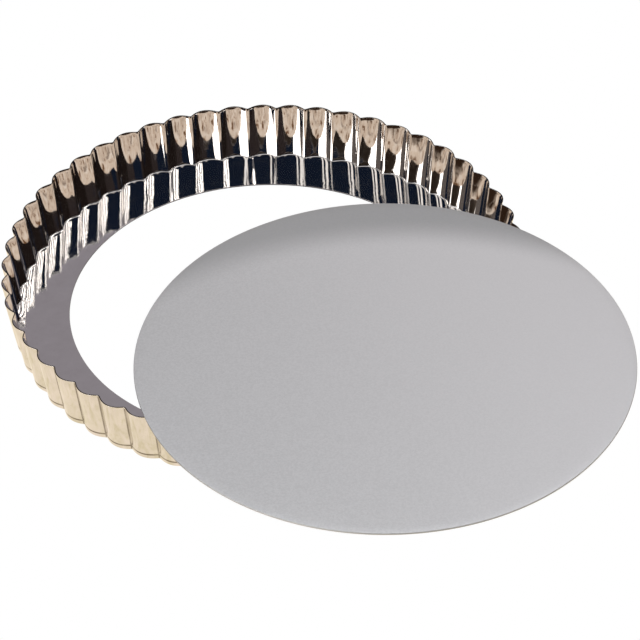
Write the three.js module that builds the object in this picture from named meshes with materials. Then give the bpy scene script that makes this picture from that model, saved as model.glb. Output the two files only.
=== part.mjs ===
// A fluted tart pan with a loose base: a ring drawn from one sheet, with the round base lying across its rim.
import * as THREE from 'three';

// Driving dimensions, in millimetres and radians. The pan stands on its ledge, with +Z up.
const PAN_HEIGHT = 27.5;
const RIM_RADIUS = 120;
const FOOT_RADIUS = 116.3;
const HOLE_RADIUS = 90.7;
const SHEET = 0.5;
const HEEL_RADIUS = 1.2;
const FLUTES = 52;
const FIRST_CUSP = THREE.MathUtils.degToRad(11.02);
const RIM_FLUTE_DEPTH = 2.8;
const FOOT_FLUTE_DEPTH = 2.2;
const BASE_RADIUS = 109.8;
const BASE_SHEET = 0.8;
const REST_GAP = 0.3;
const BASE_OFFSET = new THREE.Vector2(53.2, -72.5);

// How finely the curves are cut into flats.
const STEPS_PER_FLUTE = 6;
const HEEL_STEPS = 3;
const BASE_STEPS = 180;

const brightTinplate = new THREE.MeshStandardMaterial({ color: 0xd5d3d1, roughness: 0.12, metalness: 1 });
const satinSheet = new THREE.MeshStandardMaterial({ color: 0xb9b7b6, roughness: 0.38, metalness: 1 });

// Points of a quarter bend between the ledge and the wall, from the ledge's end up.
function bend(centreRadius, centreHeight, radius) {
  const points = [];
  for (let step = 0; step <= HEEL_STEPS; step += 1) {
    const turn = (step / HEEL_STEPS) * (Math.PI / 2);
    const across = centreRadius + radius * Math.sin(turn);
    const up = centreHeight - radius * Math.cos(turn);
    points.push(new THREE.Vector2(across, up));
  }
  return points;
}

// The section through a lobe: out along the ledge's underside, up the outside, and back down the inside.
function ringSection() {
  const bendRadius = FOOT_RADIUS - HEEL_RADIUS;
  const outside = bend(bendRadius, HEEL_RADIUS, HEEL_RADIUS);
  const inside = bend(bendRadius, HEEL_RADIUS, HEEL_RADIUS - SHEET).reverse();
  const start = new THREE.Vector2(HOLE_RADIUS, 0);
  return [
    start,
    ...outside,
    new THREE.Vector2(RIM_RADIUS, PAN_HEIGHT),
    new THREE.Vector2(RIM_RADIUS - SHEET, PAN_HEIGHT),
    ...inside,
    new THREE.Vector2(HOLE_RADIUS, SHEET),
    start.clone(),
  ];
}

// How deep the flutes are at a height. They run right round the heel, and are deepest at the rim.
function fluteDepth(height) {
  return THREE.MathUtils.mapLinear(height, 0, PAN_HEIGHT, FOOT_FLUTE_DEPTH, RIM_FLUTE_DEPTH);
}

// How far a direction is from the middle of its lobe: 0 on the lobe, 1 on the cusp between two lobes.
function fromLobe(angle) {
  const flute = THREE.MathUtils.euclideanModulo(((angle - FIRST_CUSP) / (2 * Math.PI)) * FLUTES, 1);
  return Math.abs(2 * flute - 1);
}

function flutedRing() {
  const geometry = new THREE.LatheGeometry(ringSection(), FLUTES * STEPS_PER_FLUTE);
  geometry.rotateX(Math.PI / 2);
  geometry.rotateZ(FIRST_CUSP);
  const place = geometry.getAttribute('position');
  const point = new THREE.Vector3();
  for (let index = 0; index < place.count; index += 1) {
    point.fromBufferAttribute(place, index);
    const radius = Math.hypot(point.x, point.y);
    const onHoleEdge = radius < HOLE_RADIUS + SHEET;
    const inward = onHoleEdge ? 0 : fluteDepth(point.z) * fromLobe(Math.atan2(point.y, point.x)) ** 2;
    const shrink = (radius - inward) / radius;
    place.setXY(index, point.x * shrink, point.y * shrink);
  }
  geometry.deleteAttribute('normal');
  geometry.deleteAttribute('uv');
  const ring = new THREE.Mesh(geometry, brightTinplate);
  ring.name = 'fluted_ring';
  return ring;
}

// The loose base is a plain disc, lying across the rim and off to one side.
function looseBase() {
  const geometry = new THREE.CylinderGeometry(BASE_RADIUS, BASE_RADIUS, BASE_SHEET, BASE_STEPS);
  const base = new THREE.Mesh(geometry, satinSheet);
  base.name = 'loose_base';
  base.rotation.x = Math.PI / 2;
  base.position.set(BASE_OFFSET.x, BASE_OFFSET.y, PAN_HEIGHT + REST_GAP + BASE_SHEET / 2);
  return base;
}

const pan = new THREE.Group();
pan.add(flutedRing(), looseBase());

// The origin is under the middle of the laid-out pan's outer box.
const middle = new THREE.Box3().setFromObject(pan, true).getCenter(new THREE.Vector3());
pan.position.set(-middle.x, -middle.y, 0);

export default pan;
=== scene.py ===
import math
import random

import bpy
from mathutils import Matrix, Vector, noise


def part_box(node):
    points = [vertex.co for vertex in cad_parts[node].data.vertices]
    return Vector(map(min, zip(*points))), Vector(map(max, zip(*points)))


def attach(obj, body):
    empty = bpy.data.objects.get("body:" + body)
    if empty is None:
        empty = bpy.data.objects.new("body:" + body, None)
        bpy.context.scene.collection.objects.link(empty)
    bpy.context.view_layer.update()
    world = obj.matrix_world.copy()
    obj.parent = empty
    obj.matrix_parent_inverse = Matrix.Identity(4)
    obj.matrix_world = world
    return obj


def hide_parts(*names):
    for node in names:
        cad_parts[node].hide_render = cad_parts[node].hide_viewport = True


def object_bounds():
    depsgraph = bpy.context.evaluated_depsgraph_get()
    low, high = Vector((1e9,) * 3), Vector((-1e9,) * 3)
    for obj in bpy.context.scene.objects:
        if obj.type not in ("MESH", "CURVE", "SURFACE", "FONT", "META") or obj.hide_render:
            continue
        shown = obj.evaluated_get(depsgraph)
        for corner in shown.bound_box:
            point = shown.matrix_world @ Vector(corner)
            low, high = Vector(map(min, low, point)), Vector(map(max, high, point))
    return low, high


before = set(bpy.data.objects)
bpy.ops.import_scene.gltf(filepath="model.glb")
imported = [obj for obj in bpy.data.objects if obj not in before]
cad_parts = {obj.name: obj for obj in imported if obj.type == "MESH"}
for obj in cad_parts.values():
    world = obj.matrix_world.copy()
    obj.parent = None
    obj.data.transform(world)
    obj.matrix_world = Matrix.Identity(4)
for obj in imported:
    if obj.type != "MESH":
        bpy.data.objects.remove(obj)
cad_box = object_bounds()

# A fluted tart pan in two pieces: a ring drawn from bright tinplate, and a loose base of satin sheet that
# lies across its rim. Metres, in the frame's own axes.
MM = 0.001


def linear(code):
    """An sRGB hex colour as linear RGBA."""
    channels = [int(code[at:at + 2], 16) / 255 for at in (0, 2, 4)]
    return (*[c / 12.92 if c <= 0.04045 else ((c + 0.055) / 1.055) ** 2.4 for c in channels], 1.0)


def middle_of(node):
    low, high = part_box(node)
    return (Vector(low) + Vector(high)) / 2


def smoothstep(value, start, end):
    share = min(max((value - start) / (end - start), 0.0), 1.0)
    return share * share * (3 - 2 * share)


def sheet_piece(name, mesh_name, points, faces, place):
    """A piece of sheet metal, shaded smooth, at its place in the frame."""
    mesh = bpy.data.meshes.new(mesh_name)
    mesh.from_pydata(points, [], faces)
    mesh.polygons.foreach_set("use_smooth", [True] * len(mesh.polygons))
    piece = bpy.data.objects.new(name, mesh)
    piece.location = place
    bpy.context.collection.objects.link(piece)
    return piece


# ---------------------------------------------------------------------------------------------- the ring

# The ring's section. The heel is the round bend between the ledge and the wall.
SHEET = 0.5 * MM
HEEL_RADIUS = 1.2 * MM
FOOT_RADIUS = 116.3 * MM
HOLE_RADIUS = 90.7 * MM
BEND_CENTRE = FOOT_RADIUS - HEEL_RADIUS
LEDGE_STEPS = 9
HEEL_STEPS = 8
WALL_STEPS = 16

# Its flutes. The softness says how round a cusp is, where 0 is a sharp crease.
FLUTES = 52
FIRST_CUSP = math.radians(11.02)
RIM_FLUTE_DEPTH = 2.8 * MM
FOOT_FLUTE_DEPTH = 2.2 * MM
CUSP_SOFTNESS = 0.12
STEPS_PER_FLUTE = 24

# A cut edge is flat, with its corners just broken. A narrow strip of sheet beside the hole keeps the
# ledge's shading flat up to the cut.
EDGE_ROUND = 0.09 * MM
EDGE_STRIP = 0.2 * MM
CORNER_TURNS = [math.radians(turn) for turn in (30, 60, 90)]

# Hand-set dies and handling leave each flute a little different, and the sheet a little wavy.
PRESSING_SEED = 7
FLUTE_SHIFT = 0.03
FLUTE_DEPTH_SPREAD = 0.06
WAVE_SIZE = 7 * MM
WAVE_DEPTH = 0.05 * MM

ring_low, ring_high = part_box("fluted_ring")
ring_middle = middle_of("fluted_ring")
ring_foot = Vector((ring_middle.x, ring_middle.y, ring_low[2]))
rim_radius = (ring_high[0] - ring_low[0]) / 2
pan_height = ring_high[2] - ring_low[2]


def ring_section():
    """The outer skin of the sheet through a lobe, as (radius, height): ledge, heel, then wall to the rim."""
    flare = math.atan2(rim_radius - FOOT_RADIUS, pan_height - HEEL_RADIUS)
    hole_side = HOLE_RADIUS + EDGE_ROUND
    points = [(hole_side, 0.0), (hole_side + EDGE_STRIP, 0.0)]
    for step in range(1, LEDGE_STEPS):
        points.append((hole_side + step / LEDGE_STEPS * (BEND_CENTRE - hole_side), 0.0))
    for step in range(HEEL_STEPS + 1):
        turn = step / HEEL_STEPS * (math.pi / 2 - flare)
        height = HEEL_RADIUS * (1 - math.cos(turn))
        points.append((BEND_CENTRE + HEEL_RADIUS * math.sin(turn), height))
    foot, top = points[-1], (rim_radius, pan_height - EDGE_ROUND)
    for step in range(1, WALL_STEPS + 1):
        share = step / WALL_STEPS
        points.append((foot[0] + share * (top[0] - foot[0]), foot[1] + share * (top[1] - foot[1])))
    return points


def flute_depth(radius, height):
    """Deepest at the rim, and carried right round the heel, then fading across the ledge."""
    on_ledge = (radius - HOLE_RADIUS) / (BEND_CENTRE - HOLE_RADIUS)
    full = FOOT_FLUTE_DEPTH + (RIM_FLUTE_DEPTH - FOOT_FLUTE_DEPTH) * height / pan_height
    return full * min(max(on_ledge, 0.0), 1.0) ** 2


def inward_share(across):
    """How far in the sheet is: 0 in the middle of a lobe, 1 at the cusp, which has a small round."""
    def softened(value):
        return math.sqrt(value * value + CUSP_SOFTNESS ** 2) - CUSP_SOFTNESS
    return 1 - softened(1 - across * across) / softened(1.0)


def outer_skin():
    """Rows of points round the ring, with the flutes pressed in and the small faults of a real pressing."""
    chance = random.Random(PRESSING_SEED)
    shifts = [chance.uniform(-FLUTE_SHIFT, FLUTE_SHIFT) for _ in range(FLUTES)]
    depths = [1 + chance.uniform(-FLUTE_DEPTH_SPREAD, FLUTE_DEPTH_SPREAD) for _ in range(FLUTES)]
    rows = []
    for radius, height in ring_section():
        row = []
        for column in range(FLUTES * STEPS_PER_FLUTE):
            flute = column // STEPS_PER_FLUTE
            across = 2 * (column % STEPS_PER_FLUTE) / STEPS_PER_FLUTE - 1
            shift = shifts[flute] * (1 - across * across)
            angle = FIRST_CUSP + (column / STEPS_PER_FLUTE + shift) * 2 * math.pi / FLUTES
            # A cusp belongs to two flutes, so its depth is the mean of theirs.
            beside = (flute + (1 if across > 0 else -1)) % FLUTES
            blend = across * across / 2
            spread = depths[flute] * (1 - blend) + depths[beside] * blend
            r = radius - flute_depth(radius, height) * inward_share(across) * spread
            x, y = r * math.cos(angle), r * math.sin(angle)
            # The wave lifts the ledge, and pushes the heel and the wall in or out.
            wave = WAVE_DEPTH * noise.noise(Vector((x, y, height)) / WAVE_SIZE)
            if height < HEEL_RADIUS / 2 and radius < BEND_CENTRE:
                row.append(Vector((x, y, height + abs(wave))))
            else:
                push = 1 + wave / r
                row.append(Vector((x * push, y * push, height)))
        rows.append(row)
    return rows


def outward_normals(rows):
    """The direction out of the sheet at each point of the outer skin."""
    columns = len(rows[0])
    normals = []
    for at, row in enumerate(rows):
        below, above = rows[max(at - 1, 0)], rows[min(at + 1, len(rows) - 1)]
        normals.append([
            (row[(c + 1) % columns] - row[c - 1]).cross(above[c] - below[c]).normalized()
            for c in range(columns)
        ])
    return normals


def trimmed_edge(skin_row, normal_row, inner_row, beyond_row):
    """Rows that carry the skin over a cut edge: a flat cut with its two corners just broken."""
    half = SHEET / 2 - EDGE_ROUND
    corner = [(half + EDGE_ROUND * math.cos(turn), EDGE_ROUND * math.sin(turn)) for turn in CORNER_TURNS]
    corner += [(-across, out) for across, out in reversed(corner)]
    rows = []
    for across, out in corner:
        row = []
        for skin, normal, inner, beyond in zip(skin_row, normal_row, inner_row, beyond_row):
            outwards = (skin - beyond).normalized()
            row.append((skin + inner) / 2 + normal * across + outwards * out)
        rows.append(row)
    return rows


def add_sheet_map(mesh, rows, columns):
    """A map in metres over the sheet: round the ring in U, and along the section in V. Gives back the
    distance along the section at each row."""
    along = [0.0]
    for at in range(1, len(rows) + 1):
        step = rows[at % len(rows)][0] - rows[at - 1][0]
        along.append(along[-1] + step.length)
    layer = mesh.uv_layers.new(name="along_the_sheet")
    column_width = 2 * math.pi * FOOT_RADIUS / columns
    at = 0
    for low, high in zip(along, along[1:]):
        for c in range(columns):
            for u, v in ((c, low), (c + 1, low), (c + 1, high), (c, high)):
                layer.data[at].uv = (u * column_width, v)
                at += 1
    return along


def fluted_ring():
    """The ring, and the distances along its section at which the foot and the two cut edges lie."""
    outer = outer_skin()
    normals = outward_normals(outer)
    inner = [[p - n * SHEET for p, n in zip(row, row_n)] for row, row_n in zip(outer, normals)]
    rim = trimmed_edge(outer[-1], normals[-1], inner[-1], outer[-2])
    hole = trimmed_edge(outer[0], normals[0], inner[0], outer[1])
    rows = outer + rim + inner[::-1] + hole[::-1]
    columns = len(outer[0])
    faces = []
    for at in range(len(rows)):
        here, above = at * columns, (at + 1) % len(rows) * columns
        for c in range(columns):
            beside = (c + 1) % columns
            faces.append((here + c, here + beside, above + beside, above + c))
    points = [p for row in rows for p in row]
    ring = sheet_piece("drawn_fluted_ring", "ring_sheet", points, faces, ring_foot)
    along = add_sheet_map(ring.data, rows, columns)
    rim_row = len(outer)
    hole_row = rim_row + len(rim) + len(inner)
    rim_cut = (along[rim_row + 1], along[rim_row + len(rim) - 1])
    hole_cut = (along[hole_row + 1], along[-2])
    foot_row = next(at for at, row in enumerate(outer) if row[0].z > HEEL_RADIUS / 2)
    return ring, along[foot_row], rim_cut, hole_cut


# ---------------------------------------------------------------------------------------- the loose base

BASE_EDGE_ROUND = 0.22 * MM
BASE_EDGE_STEPS = 5
BASE_RING_STEP = 4 * MM
BASE_COLUMNS = 360

# The sheet is a hair off true. Its edge is turned down over this width, and it is uneven up to this
# share of its radius, from where it evens out towards the edge.
BASE_CROWN = 0.06 * MM
BASE_TURN_DOWN = 22 * MM
BASE_UNEVEN = 0.05 * MM
BASE_UNEVEN_SIZE = 60 * MM
BASE_EVEN_FROM = 0.9

base_low, base_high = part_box("loose_base")
base_middle = middle_of("loose_base")
base_radius = (base_high[0] - base_low[0]) / 2
base_sheet = base_high[2] - base_low[2]


def base_section():
    """Radius and height from the middle of the top to the middle of the underside, round the edge."""
    flat = base_radius - BASE_EDGE_ROUND
    edge_height = base_sheet / 2 - BASE_EDGE_ROUND
    steps = round(flat / BASE_RING_STEP)
    upper = [(flat * step / steps, base_sheet / 2) for step in range(1, steps + 1)]
    for step in range(1, BASE_EDGE_STEPS + 1):
        turn = math.pi / 2 * step / BASE_EDGE_STEPS
        height = edge_height + BASE_EDGE_ROUND * math.cos(turn)
        upper.append((flat + BASE_EDGE_ROUND * math.sin(turn), height))
    return upper + [(radius, -height) for radius, height in reversed(upper)]


def base_rise(x, y):
    """How far the sheet stands off true: its edge is turned down a little, and the rest is nearly flat."""
    radius = math.hypot(x, y)
    to_edge = max((radius - base_radius + BASE_TURN_DOWN) / BASE_TURN_DOWN, 0.0)
    uneven = BASE_UNEVEN * (1 - smoothstep(radius, BASE_EVEN_FROM * base_radius, base_radius))
    return BASE_CROWN * (1 - to_edge ** 2) + uneven * noise.noise(Vector((x, y, 0)) / BASE_UNEVEN_SIZE)


def loose_base():
    section = base_section()
    points = [Vector((0, 0, base_rise(0, 0) + base_sheet / 2))]
    for radius, height in section:
        for column in range(BASE_COLUMNS):
            angle = 2 * math.pi * column / BASE_COLUMNS
            x, y = radius * math.cos(angle), radius * math.sin(angle)
            points.append(Vector((x, y, height + base_rise(x, y))))
    points.append(Vector((0, 0, base_rise(0, 0) - base_sheet / 2)))
    last = len(points) - 1
    faces = []
    for column in range(BASE_COLUMNS):
        beside = (column + 1) % BASE_COLUMNS
        faces.append((0, 1 + column, 1 + beside))
        for row in range(len(section) - 1):
            here, below = 1 + row * BASE_COLUMNS, 1 + (row + 1) * BASE_COLUMNS
            faces.append((here + column, below + column, below + beside, here + beside))
        low = 1 + (len(section) - 1) * BASE_COLUMNS
        faces.append((low + beside, low + column, last))
    return sheet_piece("satin_loose_base", "base_sheet", points, faces, base_middle)


# --------------------------------------------------------------------------------------------- materials

# The setting of a Map Range node whose change from one value to the other is smooth.
SMOOTH = {"interpolation_type": "SMOOTHSTEP"}


def add_node(tree, kind, inputs=(), out=None, **settings):
    """Adds a shader node with its settings. Its inputs come by name or in order, each as a value or as a
    socket to link from. Gives back the node, or the output that out names."""
    node = tree.nodes.new("ShaderNode" + kind)
    for name, value in settings.items():
        setattr(node, name, value)
    for at, value in inputs.items() if isinstance(inputs, dict) else enumerate(inputs):
        if isinstance(value, bpy.types.NodeSocket):
            tree.links.new(value, node.inputs[at])
        else:
            node.inputs[at].default_value = value
    return node if out is None else node.outputs[out]


def new_material(name):
    material = bpy.data.materials.new(name)
    material.use_nodes = True
    material.node_tree.nodes.clear()
    return material, material.node_tree


def band(tree, value, middle, half_width, soft):
    """1 within half_width of the middle, falling to 0 over the soft distance on both sides."""
    beside = add_node(tree, "Math", (value, middle), "Value", operation="SUBTRACT")
    away = add_node(tree, "Math", (beside,), "Value", operation="ABSOLUTE")
    return add_node(tree, "MapRange", (away, half_width, half_width + soft, 1.0, 0.0), "Result", **SMOOTH)


# Nearly all of a noise's values lie between these two.
NOISE_LOW, NOISE_HIGH = 0.3, 0.7

# The tin coat. The marks down a real wall are finer, and are made as wide as they need to be to show.
TIN_BRIGHT, TIN_CLOUDED = linear("e4e0dc"), linear("d2cdc9")
TIN_CLOUD_SIZE = 7 * MM
TIN_PEEL_SIZE = 2.2 * MM
TIN_PEEL_DEPTH = 0.012 * MM
DRAW_MARK_WIDTH = 0.6 * MM
DRAW_MARK_LENGTH = 12 * MM
DRAW_MARK_DEPTH = 0.006 * MM
TIN_ROUGH_LOW, TIN_ROUGH_HIGH = 0.035, 0.08
BARE_OR_SHADED_ROUGH = 0.3
BARE_STEEL = linear("302b29")
CUT_SOFT = 0.05 * MM

# Painted shade lies in the outside valleys, which start this far from the middle of a lobe, in flute widths,
# and along a line near the foot, a painted contact shadow as the heel would mirror it. Heights are from the
# foot, and it fades out below the rim. It is thinner where the coat's clouds are thin.
PAINTED_SHADE_BROWN = linear("6f6455")
LOBE_MIDDLE = 0.5
VALLEY_FROM, VALLEY_SOFT = 0.455, 0.04
VALLEY_BELOW_RIM = 1 * MM
VALLEY_FOOT_LOW, VALLEY_FOOT_HIGH = -0.5 * MM, 1 * MM
SHADE_LINE_HEIGHT = 2.4 * MM
SHADE_LINE_HALF, SHADE_LINE_SOFT = 0.2 * MM, 0.5 * MM
PAINTED_SHADE_CLOUD_LOW, PAINTED_SHADE_CLOUD_HIGH = 0.2, 0.6
PAINTED_SHADE_THIN, PAINTED_SHADE_FULL = 0.45, 0.9


def outside_painted_shade(tree, round_ring, up_sheet, clouds, foot_at, rim_at):
    """How much painted shade lies on the outside: in the valleys, and in a line near the foot."""
    flutes_per_metre = FLUTES / (2 * math.pi * FOOT_RADIUS)
    turns = add_node(tree, "Math", (round_ring, flutes_per_metre), "Value", operation="MULTIPLY")
    in_flute = add_node(tree, "Math", (turns,), "Value", operation="FRACT")
    lobe = band(tree, in_flute, LOBE_MIDDLE, VALLEY_FROM, VALLEY_SOFT)
    valley = add_node(tree, "Math", (1.0, lobe), "Value", operation="SUBTRACT")
    outside = add_node(tree, "MapRange", (up_sheet, rim_at, rim_at - VALLEY_BELOW_RIM), "Result", **SMOOTH)
    on_wall = add_node(tree, "MapRange", (
        up_sheet, foot_at + VALLEY_FOOT_LOW, foot_at + VALLEY_FOOT_HIGH), "Result", **SMOOTH)
    reach = add_node(tree, "Math", (outside, on_wall), "Value", operation="MULTIPLY")
    valley = add_node(tree, "Math", (valley, reach), "Value", operation="MULTIPLY")
    shade_line = band(tree, up_sheet, foot_at + SHADE_LINE_HEIGHT, SHADE_LINE_HALF, SHADE_LINE_SOFT)
    painted_shade = add_node(tree, "Math", (valley, shade_line), "Value", operation="MAXIMUM")
    patchy = add_node(tree, "MapRange", (
        clouds, PAINTED_SHADE_CLOUD_LOW, PAINTED_SHADE_CLOUD_HIGH, PAINTED_SHADE_THIN, PAINTED_SHADE_FULL), "Result", **SMOOTH)
    return add_node(tree, "Math", (painted_shade, patchy), "Value", operation="MULTIPLY")


def drawn_tinplate(foot_at, rim_cut, hole_cut):
    """Bright tinplate: steel with a thin flow-melted tin coat, drawn over a fluted punch. It mirrors its
    surroundings, a little broken up by the peel of the tin and by marks drawn down the wall."""
    material, tree = new_material("drawn_tinplate")
    place = add_node(tree, "TexCoord", out="Object")
    sheet = add_node(tree, "UVMap", out="UV", uv_map="along_the_sheet")
    split = add_node(tree, "SeparateXYZ", (sheet,))
    round_ring, up_sheet = split.outputs["X"], split.outputs["Y"]

    # Tin crystals and handling cloud the coat in patches.
    clouds = add_node(tree, "TexNoise", {
        "Vector": place, "Scale": 1 / TIN_CLOUD_SIZE, "Detail": 3.0, "Roughness": 0.6}, "Fac")
    coat = add_node(tree, "Mix", {
        "Factor": clouds, "A": TIN_BRIGHT, "B": TIN_CLOUDED}, "Result", data_type="RGBA")
    # Painted shade: the outside valleys and a line near the foot are darkened.
    painted_shade = outside_painted_shade(tree, round_ring, up_sheet, clouds, foot_at, rim_cut[0])
    with_painted_shade = add_node(tree, "Mix", {
        "Factor": painted_shade, "A": coat, "B": PAINTED_SHADE_BROWN}, "Result", data_type="RGBA")

    # The cut edges have no tin on them: bare steel, darker and duller.
    cuts = [band(tree, up_sheet, (start + end) / 2, (end - start) / 2, CUT_SOFT)
            for start, end in (rim_cut, hole_cut)]
    cut = add_node(tree, "Math", cuts, "Value", operation="MAXIMUM")
    skin = add_node(tree, "Mix", {
        "Factor": cut, "A": with_painted_shade, "B": BARE_STEEL}, "Result", data_type="RGBA")

    smooth_tin = add_node(tree, "MapRange", (
        clouds, NOISE_LOW, NOISE_HIGH, TIN_ROUGH_LOW, TIN_ROUGH_HIGH), "Result", **SMOOTH)
    # Rougher on the bare cuts and where the shade is painted.
    darkened = add_node(tree, "Math", (painted_shade, cut), "Value", operation="MAXIMUM")
    rough = add_node(tree, "Math", (
        darkened, BARE_OR_SHADED_ROUGH, smooth_tin), "Value", operation="MULTIPLY_ADD")

    marks_place = add_node(tree, "Mapping", {
        "Vector": sheet, "Scale": (1 / DRAW_MARK_WIDTH, 1 / DRAW_MARK_LENGTH, 1.0)}, "Vector")
    marks = add_node(tree, "TexNoise", {
        "Vector": marks_place, "Scale": 1.0, "Detail": 2.0, "Roughness": 0.6}, "Fac")
    peel = add_node(tree, "TexNoise", {
        "Vector": place, "Scale": 1 / TIN_PEEL_SIZE, "Detail": 2.0, "Roughness": 0.5}, "Fac")
    drawn = add_node(tree, "Bump", {
        "Height": marks, "Strength": 1.0, "Distance": DRAW_MARK_DEPTH}, "Normal")
    surface = add_node(tree, "Bump", {
        "Height": peel, "Strength": 1.0, "Distance": TIN_PEEL_DEPTH, "Normal": drawn}, "Normal")
    shader = add_node(tree, "BsdfPrincipled", {
        "Base Color": skin, "Roughness": rough, "Metallic": 1.0, "Normal": surface}, "BSDF")
    add_node(tree, "OutputMaterial", {"Surface": shader})
    return material


# The satin skin. A real grain is finer, and is made as coarse as it needs to be to show.
SATIN_PALE, SATIN_SPECK, SATIN_CLOUD = linear("d0d1d2"), linear("c7c8c9"), linear("babbbc")
GRAIN_SIZE = 0.9 * MM
GRAIN_DEPTH = 0.006 * MM
SATIN_ROUGH_LOW, SATIN_ROUGH_HIGH = 0.46, 0.56
SATIN_CLOUD_SIZE = 45 * MM
SATIN_CLOUD_LOW, SATIN_CLOUD_HIGH = 0.35, 0.65
SATIN_CLOUD_SHARE = 0.05

# Painted light and shade over the whole sheet. One side is painted paler, and a crescent of painted shade
# lies outside an arc, whose centre and the start and end of whose fade are in radii of the base.
PAINTED_LIGHT_SIDE, PAINTED_LIGHT_SATIN = math.radians(25), linear("dcdcdd")
PAINTED_SHADE_CRESCENT = linear("b4b5b6")
CRESCENT_CENTRE = Vector((0.08, -0.8, 0))
CRESCENT_FROM, CRESCENT_FULL = 1.49, 1.69

# The blanked edge starts this far inside the outline.
BLANKED_EDGE = linear("b2b2b4")
BLANKED_FROM, BLANKED_FULL = 0.2 * MM, 0.1 * MM


def satin_steel():
    """Rolled steel sheet with a satin skin: a fine even grain that spreads reflections wide."""
    material, tree = new_material("satin_steel")
    place = add_node(tree, "TexCoord", out="Object")
    grain = add_node(tree, "TexNoise", {
        "Vector": place, "Scale": 1 / GRAIN_SIZE, "Detail": 3.0, "Roughness": 0.7}, "Fac")
    specks = add_node(tree, "MapRange", (grain, NOISE_LOW, NOISE_HIGH), "Result", **SMOOTH)
    sheet = add_node(tree, "Mix", {
        "Factor": specks, "A": SATIN_PALE, "B": SATIN_SPECK}, "Result", data_type="RGBA")
    clouds = add_node(tree, "TexNoise", {
        "Vector": place, "Scale": 1 / SATIN_CLOUD_SIZE, "Detail": 2.0}, "Fac")
    cloudy = add_node(tree, "MapRange", (
        clouds, SATIN_CLOUD_LOW, SATIN_CLOUD_HIGH, 0.0, SATIN_CLOUD_SHARE), "Result", **SMOOTH)
    sheet = add_node(tree, "Mix", {
        "Factor": cloudy, "A": sheet, "B": SATIN_CLOUD}, "Result", data_type="RGBA")

    # Painted light: the skin is painted paler towards one side of the sheet, the side the light falls on
    # more.
    painted_light_way = (math.cos(PAINTED_LIGHT_SIDE), math.sin(PAINTED_LIGHT_SIDE), 0.0)
    across = add_node(tree, "VectorMath", (place, painted_light_way), "Value", operation="DOT_PRODUCT")
    painted_light = add_node(tree, "MapRange", (across, -base_radius, base_radius), "Result", **SMOOTH)
    sheet = add_node(tree, "Mix", {
        "Factor": painted_light, "A": sheet, "B": PAINTED_LIGHT_SATIN}, "Result", data_type="RGBA")

    # Painted shade: a crescent along one side is painted darker than the rest.
    away = add_node(tree, "VectorMath", (
        place, CRESCENT_CENTRE * base_radius), "Value", operation="DISTANCE")
    darkened = add_node(tree, "MapRange", (
        away, CRESCENT_FROM * base_radius, CRESCENT_FULL * base_radius), "Result", **SMOOTH)
    sheet = add_node(tree, "Mix", {
        "Factor": darkened, "A": sheet, "B": PAINTED_SHADE_CRESCENT}, "Result", data_type="RGBA")

    # The blanked edge has lost the satin skin, and is a shade darker.
    level = add_node(tree, "VectorMath", (place, (1.0, 1.0, 0.0)), "Vector", operation="MULTIPLY")
    radius = add_node(tree, "VectorMath", (level,), "Value", operation="LENGTH")
    cut = add_node(tree, "MapRange", (
        radius, base_radius - BLANKED_FROM, base_radius - BLANKED_FULL), "Result", **SMOOTH)
    skin = add_node(tree, "Mix", {
        "Factor": cut, "A": sheet, "B": BLANKED_EDGE}, "Result", data_type="RGBA")

    rough = add_node(tree, "MapRange", (
        grain, NOISE_LOW, NOISE_HIGH, SATIN_ROUGH_LOW, SATIN_ROUGH_HIGH), "Result", **SMOOTH)
    surface = add_node(tree, "Bump", {
        "Height": grain, "Strength": 1.0, "Distance": GRAIN_DEPTH}, "Normal")
    shader = add_node(tree, "BsdfPrincipled", {
        "Base Color": skin, "Roughness": rough, "Metallic": 1.0, "Normal": surface}, "BSDF")
    add_node(tree, "OutputMaterial", {"Surface": shader})
    return material


# ------------------------------------------------------------------------------------------------ studio

# The pan lies on a white floor. All else is seen only in the metal: a table and a mat under it, boards
# round it, and soft lights.
FLOOR_SIZE = 60
FLOOR_GAP = 0.1 * MM
TABLE_SIZE = 8
TABLE_PATCH = 9 * MM
TABLE_GLOW = 1.15
MAT_RADIUS = 90 * MM
MAT_CORNERS = 96
MAT_PATCH = 13 * MM

# Where a mottled surface's noise turns from dark to middle and from middle to pale.
DARK_TO, MIDDLE_AT, PALE_FROM = 0.36, 0.45, 0.66

# A patchy ring of painted shade runs round the mat, and the loose base shades the mat under it with a ragged
# edge.
SHADE_RING_RADIUS = 70 * MM
SHADE_RING_HALF, SHADE_RING_SOFT = 2 * MM, 4 * MM
SHADE_RING_PATCH_LOW, SHADE_RING_PATCH_HIGH = 0.46, 0.62
SHADE_RING_SHARE = 0.75
SHADE_RING_BROWN, SHADE_BROWN = linear("6b4f38"), linear("33241a")
SHADE_RAG = 40 * MM
SHADE_FULL, SHADE_GONE = 15 * MM, 32 * MM

# Name, azimuth and elevation in degrees, distance, width, height, colour.
BOARDS = (
    ("grey_wall", 90, 42, 2.4, 3.2, 0.95, "9b979f"),
    ("pale_wall", 90, 60, 2.4, 3.0, 0.7, "dcdadc"),
    ("pale_sweep", 92, 17, 2.4, 3.0, 1.1, "eae2da"),
    ("brown_curtain", 5, 20, 2.4, 3.0, 1.2, "241d1b"),
    ("grey_left", 182, 28, 2.4, 1.6, 1.0, "77716f"),
    ("window_wall", 12, 47, 1.9, 2.0, 0.45, "85858b"),
    ("dim_front", 314, 18, 2.4, 1.7, 0.9, "3a3333"),
)

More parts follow.
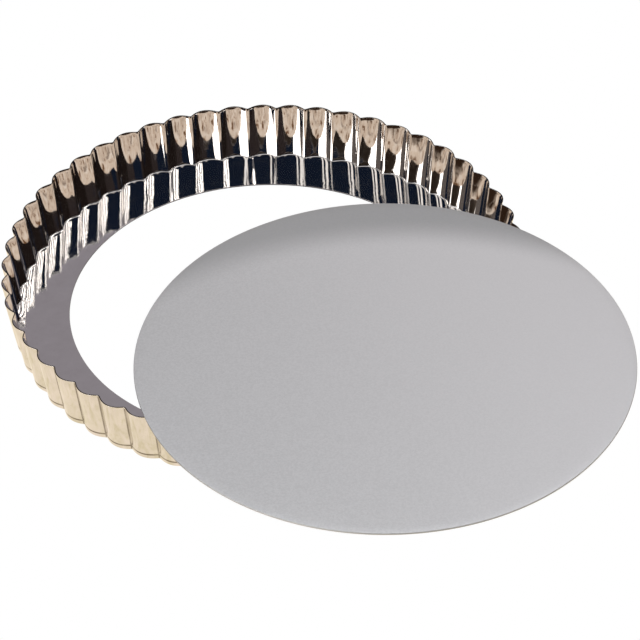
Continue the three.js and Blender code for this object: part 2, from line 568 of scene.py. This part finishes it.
# Name, azimuth and elevation in degrees, distance, width, height, brightness.
WINDOW_PANES = [(f"window_pane_{pane}", azimuth, 48, 1.6, 0.11, 0.36, 4.5)
                for pane, azimuth in enumerate((-12, 0, 16, 34))]
SOFTBOXES = (
    ("low_left_softbox", 222, 18, 1.6, 1.4, 0.78, 5.0),
    ("high_left_softbox", 178, 53, 1.6, 0.3, 0.5, 1.6),
    ("second_high_softbox", 207, 53, 1.6, 0.18, 0.5, 1.6),
    *WINDOW_PANES,
    ("ceiling_softbox", 72, 84, 2.4, 2.6, 2.4, 0.8),
    ("back_softbox", 90, 69, 2.2, 2.6, 0.28, 3.4),
)


def glowing(name, colour):
    """A studio surface that glows evenly in one colour."""
    material, tree = new_material(name)
    light = add_node(tree, "Emission", {"Color": linear(colour)}, "Emission")
    add_node(tree, "OutputMaterial", {"Surface": light})
    return material


def mottled(tree, place, patch, dark, middle, pale):
    """Patches in three tones: gives back their colour and the noise behind them."""
    patches = add_node(tree, "TexNoise", {
        "Vector": place, "Scale": 1 / patch, "Detail": 4.0, "Roughness": 0.65, "Distortion": 0.6}, "Fac")
    ramp = add_node(tree, "ValToRGB", (patches,))
    stops = ramp.color_ramp.elements
    stops[0].position, stops[0].color = DARK_TO, linear(dark)
    stops[1].position, stops[1].color = PALE_FROM, linear(pale)
    stops.new(MIDDLE_AT).color = linear(middle)
    return ramp.outputs["Color"], patches


def cream_table():
    """A lit table that the outside of the wall mirrors."""
    material, tree = new_material("cream_table")
    place = add_node(tree, "TexCoord", out="Object")
    colour, _ = mottled(tree, place, TABLE_PATCH, "e7dabb", "f2e5cb", "fdeedb")
    light = add_node(tree, "Emission", {"Color": colour, "Strength": TABLE_GLOW}, "Emission")
    add_node(tree, "OutputMaterial", {"Surface": light})
    return material


def tan_mat(shade_centre):
    """A lit mat that the inside of the wall mirrors, dark where the loose base lies over it."""
    material, tree = new_material("tan_mat")
    place = add_node(tree, "TexCoord", out="Object")
    colour, patches = mottled(tree, place, MAT_PATCH, "6a4424", "e3cdb8", "fdf0e2")

    # A patchy ring of painted shade, which each lobe mirrors as a dark spot.
    radius = add_node(tree, "VectorMath", (place,), "Value", operation="LENGTH")
    shade_ring = band(tree, radius, SHADE_RING_RADIUS, SHADE_RING_HALF, SHADE_RING_SOFT)
    patchy = add_node(tree, "MapRange", (
        patches, SHADE_RING_PATCH_LOW, SHADE_RING_PATCH_HIGH, 0.0, SHADE_RING_SHARE), "Result", **SMOOTH)
    painted_ring = add_node(tree, "Math", (shade_ring, patchy), "Value", operation="MULTIPLY")
    colour = add_node(tree, "Mix", {
        "Factor": painted_ring, "A": colour, "B": SHADE_RING_BROWN}, "Result", data_type="RGBA")

    away = add_node(tree, "VectorMath", (place, shade_centre), "Value", operation="DISTANCE")
    ragged = add_node(tree, "Math", (patches, SHADE_RAG, away), "Value", operation="MULTIPLY_ADD")
    shade = add_node(tree, "MapRange", (
        ragged, base_radius + SHADE_FULL, base_radius + SHADE_GONE, 1.0, 0.0), "Result", **SMOOTH)
    colour = add_node(tree, "Mix", {
        "Factor": shade, "A": colour, "B": SHADE_BROWN}, "Result", data_type="RGBA")
    light = add_node(tree, "Emission", {"Color": colour}, "Emission")
    add_node(tree, "OutputMaterial", {"Surface": light})
    return material


def flat_sheet(name, corners, material):
    """A flat studio piece that faces up."""
    mesh = bpy.data.meshes.new(name)
    mesh.from_pydata(corners, [], [tuple(range(len(corners)))])
    mesh.materials.append(material)
    flat = bpy.data.objects.new(name, mesh)
    bpy.context.collection.objects.link(flat)
    return flat


def board(name, width, depth, material):
    w, d = width / 2, depth / 2
    return flat_sheet(name, [(-w, -d, 0), (w, -d, 0), (w, d, 0), (-w, d, 0)], material)


def only_in_reflections(flat):
    flat.visible_camera = False
    flat.visible_diffuse = False
    flat.visible_shadow = False


def aim(thing, azimuth, elevation, distance):
    """Places a studio piece and turns it to the middle of the pan. Azimuth is from +X towards +Y."""
    a, e = math.radians(azimuth), math.radians(elevation)
    away = Vector((math.cos(a) * math.cos(e), math.sin(a) * math.cos(e), math.sin(e)))
    thing.location = away * distance
    thing.rotation_mode = "QUATERNION"
    thing.rotation_quaternion = away.to_track_quat("Z", "Y")


def softbox(name, azimuth, elevation, distance, width, height, brightness):
    """A soft light that faces the pan, as bright to look at as its brightness says."""
    data = bpy.data.lights.new(name, "AREA")
    data.shape = "RECTANGLE"
    data.size, data.size_y = width, height
    data.energy = brightness * math.pi * width * height
    light = bpy.data.objects.new(name, data)
    bpy.context.collection.objects.link(light)
    aim(light, azimuth, elevation, distance)


def surroundings():
    """White to the camera, and a dark blue room to the tin."""
    world = bpy.data.worlds.new("studio")
    world.use_nodes = True
    tree = world.node_tree
    tree.nodes.clear()
    to_camera = add_node(tree, "LightPath", out="Is Camera Ray")
    white = add_node(tree, "Background", {"Color": linear("ffffff")}, "Background")
    dark = add_node(tree, "Background", {"Color": linear("192336")}, "Background")
    both = add_node(tree, "MixShader", (to_camera, dark, white), "Shader")
    add_node(tree, "OutputWorld", {"Surface": both})
    bpy.context.scene.world = world


def studio():
    floor_level = cad_box[0].z - FLOOR_GAP
    floor = board("floor", FLOOR_SIZE, FLOOR_SIZE, glowing("white_floor", "ffffff"))
    floor.location.z = floor_level
    floor.visible_glossy = False
    table = board("cream_table", TABLE_SIZE, TABLE_SIZE, cream_table())
    table.location.z = floor_level
    only_in_reflections(table)
    turns = [2 * math.pi * step / MAT_CORNERS for step in range(MAT_CORNERS)]
    around = [(MAT_RADIUS * math.cos(turn), MAT_RADIUS * math.sin(turn), 0) for turn in turns]
    from_ring = base_middle - ring_foot
    mat = flat_sheet("tan_mat", around, tan_mat((from_ring.x, from_ring.y, 0.0)))
    mat.location = (ring_foot.x, ring_foot.y, floor_level / 2)
    only_in_reflections(mat)
    for name, azimuth, elevation, distance, width, height, colour in BOARDS:
        wall = board(name, width, height, glowing(name, colour))
        aim(wall, azimuth, elevation, distance)
        only_in_reflections(wall)
    for each in SOFTBOXES:
        softbox(*each)
    surroundings()


# ------------------------------------------------------------------------------------------------ camera

# The camera looks along +Y and down, with a long lens and a slight tilt. Lens and sensor in millimetres.
CAMERA_ELEVATION = math.radians(40.106)
CAMERA_ROLL = math.radians(-1.175)
CAMERA_DISTANCE = 1.2488
CAMERA_AIM = Vector((3.7, 18.5, 0)) * MM
CAMERA_LENS = 152.45
CAMERA_SENSOR = 36


def camera():
    data = bpy.data.cameras.new("studio_camera")
    data.lens = CAMERA_LENS
    data.sensor_width = CAMERA_SENSOR
    eye = bpy.data.objects.new("studio_camera", data)
    back = Vector((0, -math.cos(CAMERA_ELEVATION), math.sin(CAMERA_ELEVATION)))
    look = Matrix.Rotation(math.pi / 2 - CAMERA_ELEVATION, 4, "X")
    roll = Matrix.Rotation(CAMERA_ROLL, 4, "Z")
    eye.matrix_world = Matrix.Translation(CAMERA_AIM + back * CAMERA_DISTANCE) @ look @ roll
    bpy.context.collection.objects.link(eye)
    bpy.context.scene.camera = eye


camera()
ring, ring_foot_at, ring_rim_cut, ring_hole_cut = fluted_ring()
ring.data.materials.append(drawn_tinplate(ring_foot_at, ring_rim_cut, ring_hole_cut))
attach(ring, "ring")
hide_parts("fluted_ring")

base = loose_base()
base.data.materials.append(satin_steel())
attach(base, "base")
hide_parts("loose_base")

studio()
bpy.context.scene.view_settings.view_transform = "Standard"
